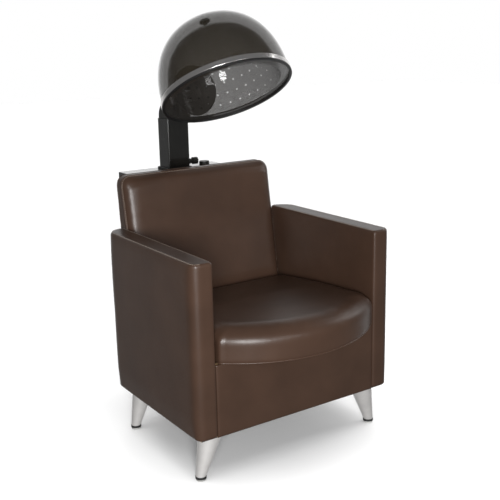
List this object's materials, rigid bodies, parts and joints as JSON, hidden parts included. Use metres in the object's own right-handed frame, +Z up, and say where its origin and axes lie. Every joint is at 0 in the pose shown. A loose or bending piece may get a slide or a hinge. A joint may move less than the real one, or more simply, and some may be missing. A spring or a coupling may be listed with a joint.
{
  "type": "salon dryer chair",
  "caption": "Upholstered salon armchair on splayed metal legs with a box hair dryer behind its back, a telescoping column and a smoked tilting hood.",
  "frame": {"origin": "centre of the bounding box on the floor", "axes": "+Z up, -Y to the chair's front, +X to the right seen from the front"},
  "size_m": [0.66, 0.836, 1.2307],
  "materials": {
    "vinyl": "satin",
    "wood": "matte",
    "dust_cloth": "matte",
    "leg_metal": "satin",
    "zinc_steel": "satin",
    "foot_rubber": "matte",
    "foot_nylon": "matte",
    "black_enamel": "gloss",
    "black_plastic": "gloss",
    "motor_iron": "satin",
    "heater_wire": "satin",
    "filter_foam": "matte",
    "smoke_outer": "gloss",
    "smoke_inner": "gloss",
    "silver_rim": "polished",
    "gasket_rubber": "satin"
  },
  "bodies": {
    "chair": {"arm_cover_left": "vinyl", "arm_cover_right": "vinyl", "arm_frame_left": "wood", "arm_frame_right": "wood", "back_cushion": "vinyl", "back_frame": "wood", "blower_motor": "motor_iron", "blower_scroll": "black_plastic", "bracket_bolts": "zinc_steel", "cable_gland": "black_plastic", "column_collar": "black_plastic", "column_tube": "black_enamel", "corner_blocks": "wood", "dryer_bracket": "black_enamel", "dryer_housing": "black_enamel", "dust_cover": "dust_cloth", "foot_pads": "foot_nylon", "foot_rings": "foot_rubber", "front_cover": "vinyl", "front_rail": "wood", "guide_bushes": "foot_nylon", "heat_switch": "black_plastic", "heater_coil": "heater_wire", "heater_duct": "zinc_steel", "housing_base": "black_enamel", "housing_screws": "zinc_steel", "inlet_filter": "filter_foam", "leg_front_left": "leg_metal", "leg_front_right": "leg_metal", "leg_plates": "zinc_steel", "leg_rear_left": "leg_metal", "leg_rear_right": "leg_metal", "leg_screws": "zinc_steel", "lock_boss": "black_enamel", "rear_cover": "vinyl", "rear_rail": "wood", "seat_board": "wood", "seat_cushion": "vinyl", "side_rail_left": "wood", "side_rail_right": "wood", "thermal_cutout": "black_plastic", "timer_mechanism": "black_plastic"},
    "fan": {"fan_wheel": "black_plastic", "motor_shaft": "zinc_steel"},
    "dial": {"timer_dial": "black_plastic"},
    "rocker": {"heat_rocker": "black_plastic"},
    "clamp": {"lock_knob": "black_plastic"},
    "lift": {"inner_duct": "black_enamel", "elbow_duct": "black_plastic"},
    "hood": {"neck_yoke": "black_plastic", "tilt_pin": "zinc_steel", "friction_washers": "foot_nylon", "hub_saddle": "black_plastic", "clamp_ring": "black_plastic", "outer_dome": "smoke_outer", "inner_bowl": "smoke_inner", "rim_band": "silver_rim", "rim_gasket": "gasket_rubber", "crown_plug": "black_plastic", "hub_screws": "zinc_steel"}
  },
  "joints": [
    {"name": "fan_spin", "type": "hinge", "parent": "chair", "child": "fan", "pos_m": [-0.092, 0.35, 0.56], "axis": [0, 1, 0], "continuous": true},
    {"name": "dial_turn", "type": "hinge", "parent": "chair", "child": "dial", "pos_m": [0.105, 0.35, 0.75], "axis": [0, 0, 1], "range_deg": [-300, 0]},
    {"name": "rocker_tilt", "type": "hinge", "parent": "chair", "child": "rocker", "pos_m": [0.174, 0.338, 0.65], "axis": [0, 1, 0], "range_deg": [-8, 8]},
    {"name": "clamp_turn", "type": "hinge", "parent": "chair", "child": "clamp", "pos_m": [0.06, 0.361, 0.764], "axis": [1, 0, 0], "range_deg": [0, 270]},
    {"name": "hood_lift", "type": "slide", "parent": "chair", "child": "lift", "axis": [0, 0, 1], "range_m": [0, 0.25]},
    {"name": "hood_tilt", "type": "hinge", "parent": "lift", "child": "hood", "pos_m": [0, 0.27608, 0.96596], "axis": [1, 0, 0], "range_deg": [-15, 30]}
  ]
}
